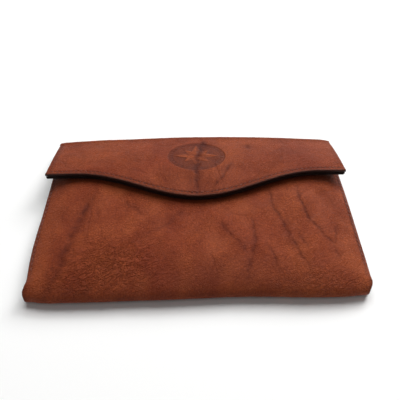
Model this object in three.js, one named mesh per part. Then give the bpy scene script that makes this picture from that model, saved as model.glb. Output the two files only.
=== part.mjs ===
// Passport holder wallet: an envelope wallet in leather, lying on its back.
// Millimetres, +Z up, X along the width, the bottom fold towards -Y and the flap's fold towards +Y.
// The origin is at the centre of the outline, on the plane that the back panel lies on.
import * as THREE from 'three';

// ---- driving dimensions -------------------------------------------------
const WIDTH = 200;            // overall width
const DEPTH = 132;            // bottom fold to rear fold
const HX = WIDTH / 2;
const Y_FRONT = -DEPTH / 2;
const Y_REAR = DEPTH / 2;
const LEATHER = 1.5;          // outer leather
const LINING = 0.3;           // lining cloth
const FACING = 0.6;           // leather facings at the mouth
const GAP = 0.3;              // clearance between neighbouring layers
const FOLD_R = 6.7;           // depth of the bottom fold
const FOLD_Z = 6.2;           // height of the fold's foremost line in the middle
const FOLD_Z_END = 4.6;       // and at its ends
const FOLD_T_END = 9.4;       // top of the fold at its ends
const FOLD_NARROW = 1.6;      // how much narrower each end of the bottom fold is than the sides
const Y_FOLD = Y_FRONT + FOLD_R;
const ROLL_Y = -40;           // from here the front panel rolls down to the fold
const CROWN_Z = 14.8;         // height of the filled middle of the front panel
const EDGE_Z = 8.0;           // height of the front panel's sewn sides
const MOUTH_Z = 11.9;         // height of the front panel at the mouth
const Y_MOUTH = 49.5;         // mouth edge of the front panel
const HINGE_Y = 60;           // flap hinge line, inside the rear fold
const HINGE_Z = 6.8;
const REAR_R = Y_REAR - HINGE_Y;
const FLAP_SIDE = 46.3;       // flap length at the sides, measured from the rear fold
const FLAP_TIP = 21.4;        // how far the middle of the flap reaches past its sides
const FLAP_TIP_HALF = 82;     // half-width of the pointed middle
const FLAP_CREST = 21.3;      // the flap arches over the press stud to this height
const FLAP_CREST_D = 52;      // this far from the rear fold
const FLAP_LEATHER = 1.7;
const FLAP_BOARD = 0.4;
const FLAP_LINING = 0.8;
const INNER_X = 84;           // half-width of the space between the gussets
const SNAP_Y = 16;            // centre of the press stud
const SNAP_Z = 14.8;

// ---- shape functions ----------------------------------------------------
const clamp = (t, a, b) => Math.min(b, Math.max(a, t));
const smooth = (a, b, x) => { const t = clamp((x - a) / (b - a), 0, 1); return t * t * (3 - 2 * t); };
const crown = (x, p) => 1 - Math.pow(Math.abs(clamp(x / HX, -1, 1)), p);
const mix = (a, b, t) => a + (b - a) * t;

// Top surface of the front panel.
function zFront(x, y) {
  const u = clamp((ROLL_Y - y) / (ROLL_Y - Y_FRONT), 0, 1), v = clamp((-58 - y) / (-58 - Y_FRONT), 0, 1);
  const mid = mix(FOLD_Z, CROWN_Z, Math.sqrt(1 - u * u)) - (CROWN_Z - MOUTH_Z) * smooth(22, 50, y);
  const edge = y > -58 ? mix(FOLD_T_END, EDGE_Z, smooth(-58, -48, y)) : mix(FOLD_Z_END, FOLD_T_END, Math.sqrt(1 - v * v));
  return mix(edge, mid, crown(x, 8));
}
// Half-width of the body at y, as a share of the half-width at the sides.
const taper = y => 1 - (FOLD_NARROW / HX) * (1 - smooth(-57, -44, y));
// How far the flap's edge is from the rear fold.
function flapLength(x) {
  const a = Math.abs(x);
  return FLAP_SIDE + FLAP_TIP * (a < FLAP_TIP_HALF ? 0.5 * (1 + Math.cos(Math.PI * x / FLAP_TIP_HALF)) : 0);
}
// Top surface of the flap, d from the rear fold.
function zFlap(x, d) {
  const c = crown(x, 1.65);
  const side = 8.2 + 14.5 * (1 - Math.pow(1 - clamp(d, 0, 82) / 82, 2.2));
  const mid = FLAP_CREST - 0.003 * (FLAP_CREST_D - d) ** 2;
  return mix(side, mid, c);
}

// ---- geometry helpers ---------------------------------------------------
// A closed skin: outer(i, j) and inner(i, j) give its two faces on an nu by nv grid.
function skin(nu, nv, outer, inner) {
  const pos = [], idx = [];
  const id = (s, i, j) => s * (nu + 1) * (nv + 1) + j * (nu + 1) + i;
  for (const f of [outer, inner])
    for (let j = 0; j <= nv; j++) for (let i = 0; i <= nu; i++) pos.push(...f(i, j));
  const quad = (a, b, c, d) => idx.push(a, b, c, a, c, d);
  for (let j = 0; j < nv; j++) for (let i = 0; i < nu; i++) {
    quad(id(0, i, j), id(0, i + 1, j), id(0, i + 1, j + 1), id(0, i, j + 1));
    quad(id(1, i, j), id(1, i, j + 1), id(1, i + 1, j + 1), id(1, i + 1, j));
  }
  for (let i = 0; i < nu; i++) {
    quad(id(1, i, 0), id(1, i + 1, 0), id(0, i + 1, 0), id(0, i, 0));
    quad(id(0, i, nv), id(0, i + 1, nv), id(1, i + 1, nv), id(1, i, nv));
  }
  for (let j = 0; j < nv; j++) {
    quad(id(0, 0, j), id(0, 0, j + 1), id(1, 0, j + 1), id(1, 0, j));
    quad(id(1, nu, j), id(1, nu, j + 1), id(0, nu, j + 1), id(0, nu, j));
  }
  const g = new THREE.BufferGeometry();
  g.setAttribute('position', new THREE.Float32BufferAttribute(pos, 3));
  g.setIndex(idx);
  g.computeVertexNormals();
  return g;
}
// A skin over a list of x and y stations, zTop and zBottom from functions of (x, y).
function panel(xs, ys, zTop, zBottom, place = (x, y) => [x, y]) {
  const at = z => (i, j) => { const [x, y] = place(xs[i], ys[j]); return [x, y, z(x, y)]; };
  return skin(xs.length - 1, ys.length - 1, at(zTop), at(zBottom));
}
const mirrorList = half => [...half.map(v => -v).reverse(), ...half.filter(v => v !== 0)];
const spread = (a, b, n) => Array.from({ length: n + 1 }, (_, i) => a + (b - a) * i / n);

// A flat sheet with rounded corners, z0 to z1.
function flatSheet(x0, x1, y0, y1, z0, z1, r) {
  const s = new THREE.Shape();
  s.moveTo(x0 + r, y0);
  s.lineTo(x1 - r, y0); s.absarc(x1 - r, y0 + r, r, -Math.PI / 2, 0, false);
  s.lineTo(x1, y1 - r); s.absarc(x1 - r, y1 - r, r, 0, Math.PI / 2, false);
  s.lineTo(x0 + r, y1); s.absarc(x0 + r, y1 - r, r, Math.PI / 2, Math.PI, false);
  s.lineTo(x0, y0 + r); s.absarc(x0 + r, y0 + r, r, Math.PI, Math.PI * 1.5, false);
  const g = new THREE.ExtrudeGeometry(s, { depth: z1 - z0, bevelEnabled: false, curveSegments: 3 });
  g.translate(0, 0, z0);
  return g;
}
// A turned piece from [r, z] points that start and end on the axis or close on themselves.
function turned(points, x, y, z) {
  const g = new THREE.LatheGeometry(points.map(([r, h]) => new THREE.Vector2(r, h)), 24);
  g.rotateX(Math.PI / 2);
  g.translate(x, y, z);
  return g;
}

const group = new THREE.Group();
function add(name, geometry, color, roughness, metalness = 0) {
  const mesh = new THREE.Mesh(geometry, new THREE.MeshStandardMaterial({ color, roughness, metalness }));
  mesh.name = name;
  group.add(mesh);
  return mesh;
}
const TAN = 0x8b4934, SUEDE = 0x5a3224, CLOTH = 0x6b5138, BRASS = 0xb08d4c;

// ---- outer leather: one cut in the real wallet, from the mouth round to the flap ----
add('back_panel', panel(mirrorList([0, 50, HX]), [Y_FOLD + 0.3, -57, -54, -51, -48, -44, 0, HINGE_Y - 1.3], () => LEATHER, () => 0, (x, y) => [x * taper(y), y]), TAN, 0.5);

const xFront = mirrorList([0, 24, 46, 64, 76, 84, 90, 94, 97, HX]);
const yFront = [Y_FOLD + 0.3, -57, -54, -50, -46, -40, -20, 4, 22, 29, 36, 43, Y_MOUTH];
add('front_panel', panel(xFront, yFront, zFront, (x, y) => zFront(x, y) - LEATHER, (x, y) => [x * taper(y), y]), TAN, 0.5);

{ // Bottom fold: from the back panel round the foremost line and up to the front panel.
  const LOW = 5, UP = 8;
  const xs = mirrorList([0, 30, 55, 74, 86, 94, HX]);
  const ring = inset => (i, j) => {
    const x = xs[i];
    let y, z, dy, dz;
    if (j <= LOW) {
      const a = (Math.PI / 2) * (j / LOW), zc = mix(FOLD_Z_END, FOLD_Z, crown(x, 8));
      [y, z, dy, dz] = [Y_FOLD - FOLD_R * Math.sin(a), zc * (1 - Math.cos(a)), Math.sin(a), Math.cos(a)];
    } else {
      const b = (Math.PI / 2) * ((j - LOW) / UP);
      y = Y_FRONT + FOLD_R * (1 - Math.cos(b));
      [z, dy, dz] = [zFront(x, y), Math.cos(b), -Math.sin(b)];
    }
    return [x * taper(y), y + inset * dy, z + inset * dz];
  };
  add('bottom_fold', skin(xs.length - 1, LOW + UP, ring(0), ring(LEATHER)), TAN, 0.5);
}
{ // Rear fold: the soft strip that the flap turns on, bowed up in the middle.
  const n = 10, xs = mirrorList([0, 20, 40, 58, 74, 86, 94, HX]);
  const arc = inset => (i, j) => {
    const x = xs[i], top = zFlap(x, REAR_R) - inset * FLAP_LEATHER / LEATHER, low = inset;
    const a = -Math.PI / 2 + Math.PI * (j / n);
    const cz = (top + low) / 2, rz = (top - low) / 2;
    return [x, HINGE_Y - 1.0 * (1 - j / n) + (REAR_R + 0.5 - inset) * Math.cos(a), cz + rz * Math.sin(a)];
  };
  add('rear_fold', skin(xs.length - 1, n, arc(LEATHER), arc(0)), TAN, 0.5);
}

// ---- body lining, facings and gussets -----------------------------------
const Z_BACK = LEATHER + GAP;
add('back_lining', flatSheet(-INNER_X, INNER_X, -55, 43.6, Z_BACK, Z_BACK + LINING, 1), CLOTH, 0.9);
add('back_facing', flatSheet(-INNER_X, INNER_X, 43.9, 58.4, Z_BACK, Z_BACK + FACING, 0.8), TAN, 0.6);

const xInner = mirrorList([0, 26, 50, 68, 77, INNER_X]);
const zFrontIn = (x, y) => zFront(x, y) - LEATHER - GAP;
add('front_lining', panel(xInner, [-55, -52, -49, -45, -40, -18, 6, 22, 28, 33.6], zFrontIn, (x, y) => zFrontIn(x, y) - LINING), CLOTH, 0.9);
add('mouth_facing', panel(xInner, [33.9, 37, 40, 43, 46, 49.2], zFrontIn, (x, y) => zFrontIn(x, y) - FACING), TAN, 0.6);

// Gusset: a sheet folded inwards between the sides of the back and front panels.
function gusset(side) {
  const ys = [-52, -48, -44, -36, -16, 8, 22, 32, 41, 48.5], t = 0.6;
  const line = y => {
    const top = zFront(HX * 0.985, y) - LEATHER - GAP - t;
    const low = Z_BACK;
    const apex = (top + low) / 2;
    return [[98.6, low], [91, low + 0.25], [86.6, apex - 0.55], [85.6, apex + t / 2], [86.6, apex + 0.55 + t], [91, Math.max(top - 0.25, apex + 1.1)], [98.0, top]];
  };
  const face = k => (i, j) => {
    const y = ys[j], L = line(y), P = L[i];
    const a = L[Math.max(i - 1, 0)], b = L[Math.min(i + 1, L.length - 1)];
    const dx = b[0] - a[0], dz = b[1] - a[1], len = Math.hypot(dx, dz) || 1;
    return [side * taper(y) * (P[0] + k * t * (dz / len)), y, P[1] + k * t * (-dx / len)];
  };
  return side > 0 ? skin(6, ys.length - 1, face(0), face(1)) : skin(6, ys.length - 1, face(1), face(0));
}
add('right_gusset', gusset(1), SUEDE, 0.7);
add('left_gusset', gusset(-1), SUEDE, 0.7);

// ---- pockets ------------------------------------------------------------
add('card_panel', flatSheet(-82, 82, -54, 43.2, 2.4, 2.7, 1), TAN, 0.6);
add('card_slot_upper', flatSheet(-80, 80, 16, 36, 3.0, 3.3, 1), TAN, 0.6);
add('card_slot_middle', flatSheet(-80, 80, 2, 22, 3.6, 3.9, 1), TAN, 0.6);
add('card_slot_lower', flatSheet(-80, 80, -53, 8, 4.2, 4.5, 1), TAN, 0.6);
add('divider', flatSheet(-82, 82, -54, 53, 4.8, 5.1, 1.5), SUEDE, 0.7);
add('passport_pocket', flatSheet(-70, 70, -53, 24, 9.9, 10.2, 1.5), TAN, 0.6);

// ---- press stud ---------------------------------------------------------
add('snap_socket', turned([[2.7, 0], [6.0, 0], [6.2, 0.5], [5.4, 1.4], [3.3, 1.4], [2.7, 0.9], [2.7, 0]], 0, SNAP_Y, SNAP_Z + GAP), BRASS, 0.3, 1);
add('snap_cap', turned([[0, 0], [4.4, 0.15], [6.0, 0.6], [6.0, 0.8], [0, 0.8]], 0, SNAP_Y, SNAP_Z - LEATHER - GAP - LINING - GAP - 0.85), BRASS, 0.3, 1);

// ---- flap ---------------------------------------------------------------
const xFlap = inset => mirrorList([0, 8, 18, 28, 38, 48, 58, 68, 76, 84, 92, HX].map(v => Math.min(v, HX - inset)).filter((v, i, a) => i === 0 || v > a[i - 1]));
function flapSkin(inset, rear, drop, thick, nv) {
  const xs = xFlap(inset), rows = spread(0, 1, nv);
  const at = dz => (i, j) => {
    const x = xs[i], y0 = HINGE_Y + 0.3 - rear, y1 = Y_REAR - flapLength(x) + inset;
    const y = mix(y0, y1, rows[j]);
    return [x, y, zFlap(x, Y_REAR - y) - dz];
  };
  // rows run towards -Y, so the lower face is given first
  return skin(xs.length - 1, nv, at(drop + thick), at(drop));
}
add('flap_leather', flapSkin(0, 0.6, 0, FLAP_LEATHER, 9), TAN, 0.5);
add('flap_board', flapSkin(6, 8, FLAP_LEATHER + GAP, FLAP_BOARD, 6), 0x9a8a70, 0.9);
add('flap_lining', flapSkin(0.8, 1.2, FLAP_LEATHER + FLAP_BOARD + 2 * GAP, FLAP_LINING, 9), SUEDE, 0.8);
add('snap_stud', turned([[0, -1.2], [1.7, -1.2], [2.0, -0.7], [1.8, 0], [5.0, 0.05], [5.2, 0.25], [4.8, 0.45], [0, 0.45]], 0, SNAP_Y, SNAP_Z + 2.1), BRASS, 0.3, 1);

export default group;
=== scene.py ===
import bpy
import math
import numpy as np
from mathutils import Matrix, Vector


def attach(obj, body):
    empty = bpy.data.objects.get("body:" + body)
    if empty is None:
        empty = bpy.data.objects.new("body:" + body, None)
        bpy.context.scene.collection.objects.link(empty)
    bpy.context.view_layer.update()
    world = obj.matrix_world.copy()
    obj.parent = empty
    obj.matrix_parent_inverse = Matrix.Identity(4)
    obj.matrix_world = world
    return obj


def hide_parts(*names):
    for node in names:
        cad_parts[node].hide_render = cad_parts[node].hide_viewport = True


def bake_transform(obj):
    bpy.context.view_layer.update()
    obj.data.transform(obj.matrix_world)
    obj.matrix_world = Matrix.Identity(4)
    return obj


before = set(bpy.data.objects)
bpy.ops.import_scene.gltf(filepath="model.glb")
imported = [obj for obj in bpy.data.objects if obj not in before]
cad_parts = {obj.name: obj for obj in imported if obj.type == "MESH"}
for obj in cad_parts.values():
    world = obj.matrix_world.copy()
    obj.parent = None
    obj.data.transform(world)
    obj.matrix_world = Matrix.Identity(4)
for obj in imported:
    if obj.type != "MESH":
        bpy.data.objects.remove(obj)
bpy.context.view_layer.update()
MM = 0.001

# ---------------------------------------------------------------- sizes (mm), as in the CAD model
HX = 100.0
YF, YR = -66.0, 66.0
RF = 6.7
YC = YF + RF
ROLL_Y = -40.0
ZC, ZC_END, TE = 6.2, 4.6, 9.4
CROWN_Z, EDGE_Z, MOUTH_Z = 14.8, 8.0, 11.9
LEATHER = 1.5
HINGE_Y, HINGE_Z = 60.0, 6.8
Y_MOUTH = 49.5
FLAP_T = 1.7
SIDE, BELL, BW, BELL_X = 46.3, 21.4, 82.0, 0.9
SNAP = (0.0, 16.0, 14.8)

def ss(a, b, x):
    t = np.clip((x - a) / (b - a), 0, 1)
    return t * t * (3 - 2 * t)
def crown(x, p):
    return 1 - np.abs(np.clip(x / HX, -1, 1)) ** p
def z_front(x, y):
    u, v = np.clip((ROLL_Y - y) / (ROLL_Y - YF), 0, 1), np.clip((-58 - y) / (-58 - YF), 0, 1)
    mid = ZC + (CROWN_Z - ZC) * np.sqrt(1 - u * u) - (CROWN_Z - MOUTH_Z) * ss(22, 50, y)
    edge = np.where(y > -58, TE + (EDGE_Z - TE) * ss(-58, -48, y), ZC_END + (TE - ZC_END) * np.sqrt(1 - v * v))
    return edge + (mid - edge) * crown(x, 8)
def taper(y):
    return 1 - 0.016 * (1 - ss(-57, -44, y))
def flap_len(x):
    a = np.abs(x - BELL_X)
    return SIDE + BELL * np.where(a < BW, 0.5 * (1 + np.cos(np.pi * a / BW)), 0)
def z_flap(x, d):
    c = crown(x, 1.65)
    t = 1 - np.clip(d, 0, 82) / 82
    return (8.2 + 14.5 * (1 - t ** 2.2)) * (1 - c) + (21.3 - 0.003 * (52 - d) ** 2) * c + 0.005 * x
# The used wallet is a little uneven: its real half-widths down each side, and how far its bottom fold bows.
_WY = np.array([-66, -64, -62, -59, -56, -53, -50, -42, -32, -22, -12, -2, 8, 18, 40, 60], float)
_WL = np.array([97.6, 98.3, 98.5, 98.15, 97.8, 98.1, 98.7, 99.4, 99.85, 99.9, 99.6, 99.45, 99.45, 99.3, 99.6, 99.8])
_WR = np.array([96.6, 97.4, 98.2, 98.7, 98.7, 99.1, 99.5, 99.75, 99.9, 100.1, 100.35, 100.5, 100.5, 100.45, 100.1, 99.9])
def half_width(s, y):
    return np.where(np.asarray(s) < 0, np.interp(y, _WY, _WL), np.interp(y, _WY, _WR))
_BX = np.array([-96, -92, -85, -77, -70, -57, -44, -30, -17, -3, 10, 23, 37, 50, 64, 77, 84, 90, 95], float)
_BD = np.array([-0.3, -0.8, -1.2, -1.2, -1.25, -0.9, -0.5, -0.27, -0.13, 0.2, 0.5, 0.7, 0.5, 0.2, -0.25, -0.27, -0.25, 0.0, 0.25])
def bow(x, y):
    return np.interp(x, _BX, _BD) * (1 - ss(-62, -34, y))
def place(x, y):
    """Nominal (x, y) on the body to its place on the uneven wallet."""
    return x * half_width(x, y) / HX, y + bow(x, y)

# ---------------------------------------------------------------- seeded gradient noise
_rng = np.random.RandomState(7)
_perm = np.concatenate([_rng.permutation(256)] * 2)
_grad = np.stack([np.cos(np.arange(256) / 256 * 2 * np.pi * 37), np.sin(np.arange(256) / 256 * 2 * np.pi * 37)], 1)
def pnoise(x, y):
    xi, yi = np.floor(x).astype(int), np.floor(y).astype(int)
    xf, yf = x - xi, y - yi
    u, v = xf ** 3 * (xf * (xf * 6 - 15) + 10), yf ** 3 * (yf * (yf * 6 - 15) + 10)
    def g(dx, dy):
        h = _perm[(_perm[(xi + dx) & 255] + yi + dy) & 255]
        return _grad[h, 0] * (xf - dx) + _grad[h, 1] * (yf - dy)
    a = g(0, 0) * (1 - u) + g(1, 0) * u
    b = g(0, 1) * (1 - u) + g(1, 1) * u
    return (a * (1 - v) + b * v) * 1.5
def fbm(x, y, octaves=4, gain=0.5):
    s, amp, f = 0, 1.0, 1.0
    for k in range(octaves):
        s = s + amp * pnoise(x * f + 13.7 * k, y * f - 7.3 * k)
        amp *= gain
        f *= 2.03
    return s

# ---------------------------------------------------------------- natural marks in the hide (mm, on the surface)
MARKS_FLAP = [  # points, half-width, strength
    ([(6.8, 57), (6.2, 54), (5.2, 50), (3.2, 44.1), (1.8, 37), (0.8, 30), (0.6, 26)], 2.1, 1.15),
    ([(7.5, 52), (6.6, 49), (4.0, 45)], 2.4, 0.8),
    ([(1.4, 36), (0.4, 27), (0.0, 20), (0.1, 11.1), (-0.1, 4), (-0.4, -4)], 1.7, 1.0),
    ([(-3.6, 24), (-3.4, 14), (-3.9, 4), (-4.2, -3)], 1.8, 0.30),
    ([(25.6, 31.5), (23.4, 27.6), (21.0, 22), (18.2, 16.9), (14.0, 9.8), (10.0, 2.4)], 0.85, 0.72),
    ([(19.0, 19), (17.6, 16), (16.8, 13.8)], 1.4, 0.55),
    ([(37.0, 52.5), (37.4, 49), (35.8, 46.0)], 2.6, 0.75),
    ([(-52, 44), (-44, 38), (-39, 29)], 1.6, 0.22),
    ([(60, 50), (69, 42), (72, 31)], 1.4, 0.20),
    ([(-84, 50), (-78, 37), (-80, 26)], 2.4, 0.24),
    ([(-30, 52), (-22, 50), (-12, 53)], 1.0, 0.30),
]
MARKS_BACK = [
    ([(-70, 50), (-64, 30), (-60, 8), (-52, -14)], 1.1, 0.55),
    ([(-20, 55), (-12, 36), (-10, 14)], 0.8, 0.45),
    ([(38, 40), (34, 18), (40, -6), (36, -30)], 0.9, 0.5),
    ([(76, 20), (70, 2), (74, -18)], 1.4, 0.35),
    ([(-30, -20), (-22, -38), (-24, -52)], 1.8, 0.3),
]
MARKS_FRONT = [
    ([(66.2, 16), (66.6, 0.3), (69.2, -13.2), (73.2, -23), (77.4, -31.1), (84, -42)], 1.2, 0.80),
    ([(46.2, 10), (47.2, 4), (48.6, -7.4), (52.5, -18.9), (55.8, -32.8), (59.6, -45.1), (65.2, -58.5)], 1.2, 0.70),
    ([(13.0, -15), (15.9, -22.2), (20.6, -30.0), (25.6, -36.7), (29.1, -43.2)], 0.95, 0.62),
    ([(33.4, -14), (34.2, -22.5), (34.5, -31.0), (29.8, -47.3), (24.7, -62.0)], 1.4, 0.60),
    ([(41, -36), (43.9, -44.9), (46.7, -58.2)], 1.1, 0.50),
    ([(86, -18), (84.1, -29.0), (80.6, -38.3), (81.6, -46.7)], 1.0, 0.55),
    ([(60.0, -26.0), (62.2, -33), (65.1, -40.9)], 1.0, 0.50),
    ([(-66, 8), (-68.8, -2.5), (-72.5, -17), (-75.6, -29.9), (-78.9, -47.3), (-82.5, -58.2), (-87, -72)], 3.3, 0.70),
    ([(-46, 0), (-43.3, -4.1), (-37.3, -9.2), (-34, -13)], 1.1, 0.35),
    ([(-8, -8), (-11.6, -12.2), (-17, -18), (-23.0, -23.1), (-31, -29)], 1.7, 0.42),
    ([(84, 12), (88, -4), (93, -20)], 1.6, 0.25),
    ([(-30, -24), (-22, -38), (-19, -52)], 2.0, 0.12),
]
def line_distance(x, y, pts):
    best = np.full(x.shape, 1e9)
    where = np.zeros(x.shape)
    total = len(pts) - 1
    for k in range(total):
        (ax, ay), (bx, by) = pts[k], pts[k + 1]
        dx, dy = bx - ax, by - ay
        t = np.clip(((x - ax) * dx + (y - ay) * dy) / (dx * dx + dy * dy), 0, 1)
        d = np.hypot(x - ax - t * dx, y - ay - t * dy)
        near = d < best
        best = np.where(near, d, best)
        where = np.where(near, (k + t) / total, where)
    return best, where
def smooth_line(pts, k=4):
    """The points joined by a Catmull-Rom curve, k pieces to a span."""
    P = np.array([pts[0]] + list(pts) + [pts[-1]], float)
    out = []
    for i in range(1, len(P) - 2):
        p0, p1, p2, p3 = P[i - 1], P[i], P[i + 1], P[i + 2]
        for j in range(k):
            f = j / k
            out.append(tuple(0.5 * (2 * p1 + (p2 - p0) * f + (2 * p0 - 5 * p1 + 4 * p2 - p3) * f * f + (3 * p1 - p0 - 3 * p2 + p3) * f ** 3)))
    return out + [tuple(P[-1])]

def marks(x, y, table):
    """0 to 1: how strongly a natural mark shows at each point."""
    jx = x + 1.2 * fbm(x / 11, y / 11, 2)
    jy = y + 1.2 * fbm(x / 11 + 40, y / 11 + 40, 2)
    out = np.zeros(x.shape)
    for pts, w, s in table:
        d, t = line_distance(jx, jy, smooth_line(pts))
        fade = np.clip(np.sin(np.pi * np.clip(t, 0.06, 0.94)) * 1.8, 0, 1)
        wide = w * (0.6 + 0.3 * fade)
        m = s * fade * (0.72 * np.exp(-(d / (0.95 * wide)) ** 2) + 0.34 * np.exp(-(d / (wide * 2.8)) ** 2))
        m = m * (0.85 + 0.5 * fbm(x / 6, y / 6, 2))
        out = np.maximum(out, m)
    return np.clip(out, 0, 1)

# ---------------------------------------------------------------- mesh helpers
def new_mesh(name, verts, faces, uv=None, attrs=None, mats=None, face_mat=None, smooth=True):
    """verts (n, 3) in mm. faces: (m, 4) array, or a list. uv: per vertex, (n, 2). attrs: {name: per-vertex floats}."""
    me = bpy.data.meshes.new(name)
    verts = np.asarray(verts, float) * MM
    if isinstance(faces, np.ndarray) and faces.ndim == 2:
        k = faces.shape[1]
        me.vertices.add(len(verts))
        me.vertices.foreach_set("co", verts.ravel())
        me.loops.add(faces.size)
        me.loops.foreach_set("vertex_index", faces.ravel().astype(np.int32))
        me.polygons.add(len(faces))
        me.polygons.foreach_set("loop_start", np.arange(0, faces.size, k, dtype=np.int32))
        me.update(calc_edges=True)
    else:
        me.from_pydata([tuple(v) for v in verts], [], [tuple(f) for f in faces])
    if uv is not None:
        layer = me.uv_layers.new(name="hide_mm")
        idx = np.zeros(len(me.loops), np.int32)
        me.loops.foreach_get("vertex_index", idx)
        layer.data.foreach_set("uv", np.asarray(uv, np.float32)[idx].ravel())
    for key, val in (attrs or {}).items():
        a = me.attributes.new(key, "FLOAT", "POINT")
        a.data.foreach_set("value", np.asarray(val, np.float32))
    if smooth:
        me.polygons.foreach_set("use_smooth", np.ones(len(me.polygons), bool))
    ob = bpy.data.objects.new(name, me)
    bpy.context.scene.collection.objects.link(ob)
    for m in mats or []:
        me.materials.append(m)
    if face_mat is not None:
        me.polygons.foreach_set("material_index", np.asarray(face_mat, np.int32))
    me.validate()
    me.update()
    return ob

def shell(O, I, rim=4, bulge=0.5, uvO=None, wrap=False):
    """A closed skin from two grids of points with rounded rims. O and I are (nv, nu, 3); O faces out where u x v does.
    Returns verts, quads, uv, rimness."""
    nv, nu, _ = O.shape
    idx = np.arange(nv * nu).reshape(nv, nu)
    per = np.concatenate([idx[0, :-1], idx[:-1, -1], idx[-1, :0:-1], idx[:0:-1, 0]])
    Of, If = O.reshape(-1, 3), I.reshape(-1, 3)
    # outward direction at the rim: away from the next row in
    inn = np.concatenate([idx[1, :-1], idx[:-1, -2], idx[-2, :0:-1], idx[:0:-1, 1]])
    e = Of[per] - Of[inn]
    e /= np.maximum(np.linalg.norm(e, axis=1, keepdims=True), 1e-9)
    corner = [0, nu - 1, nu - 1 + nv - 1, 2 * (nu - 1) + nv - 1]
    for c in corner:
        v = e[c - 1] + e[(c + 1) % len(per)]
        e[c] = v / np.linalg.norm(v)
    A, B = Of[per], If[per]
    mid, half = (A + B) / 2, (A - B) / 2
    r = np.linalg.norm(half, axis=1, keepdims=True) * bulge * 2
    rings = []
    for k in range(1, rim + 1):
        a = math.pi * k / (rim + 1)
        rings.append(mid + half * math.cos(a) + e * r * math.sin(a))
    verts = np.concatenate([Of, If] + rings)
    n = nv * nu
    q = []
    a, b, c, d = idx[:-1, :-1].ravel(), idx[:-1, 1:].ravel(), idx[1:, 1:].ravel(), idx[1:, :-1].ravel()
    q.append(np.stack([a, b, c, d], 1))
    q.append(np.stack([a + n, d + n, c + n, b + n], 1))
    m = len(per)
    loops = [per] + [2 * n + k * m + np.arange(m) for k in range(rim)] + [per + n]
    for L0, L1 in zip(loops[:-1], loops[1:]):
        q.append(np.stack([L0, L1, np.roll(L1, -1), np.roll(L0, -1)], 1))
    uv0 = uvO.reshape(-1, 2) if uvO is not None else Of[:, :2]
    uv = np.concatenate([uv0, uv0 + 300] + [uv0[per] + e[:, :2] * (0.5 * (k + 1)) for k in range(rim)])
    rimness = np.concatenate([np.zeros(2 * n)] + [np.full(m, float(ss(0.20, 0.52, k / (rim + 1)))) for k in range(1, rim + 1)])
    side = np.concatenate([np.zeros(n), np.ones(n), np.full(m * rim, 0.5)])
    return verts, np.concatenate(q), uv, rimness, side

def normals_of(G):
    """Unit normals of a grid, u x v."""
    du = np.gradient(G, axis=1)
    dv = np.gradient(G, axis=0)
    n = np.cross(du, dv)
    return n / np.maximum(np.linalg.norm(n, axis=2, keepdims=True), 1e-9)

def graded(a, b, coarse, fine, margin):
    """Stations from a to b: fine steps within margin of both ends, coarse between."""
    m = max(2, int(round(margin / fine)))
    k = max(2, int(round((b - a - 2 * margin) / coarse)))
    return np.concatenate([np.linspace(a, a + margin, m, endpoint=False), np.linspace(a + margin, b - margin, k, endpoint=False), np.linspace(b - margin, b, m + 1)])

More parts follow.
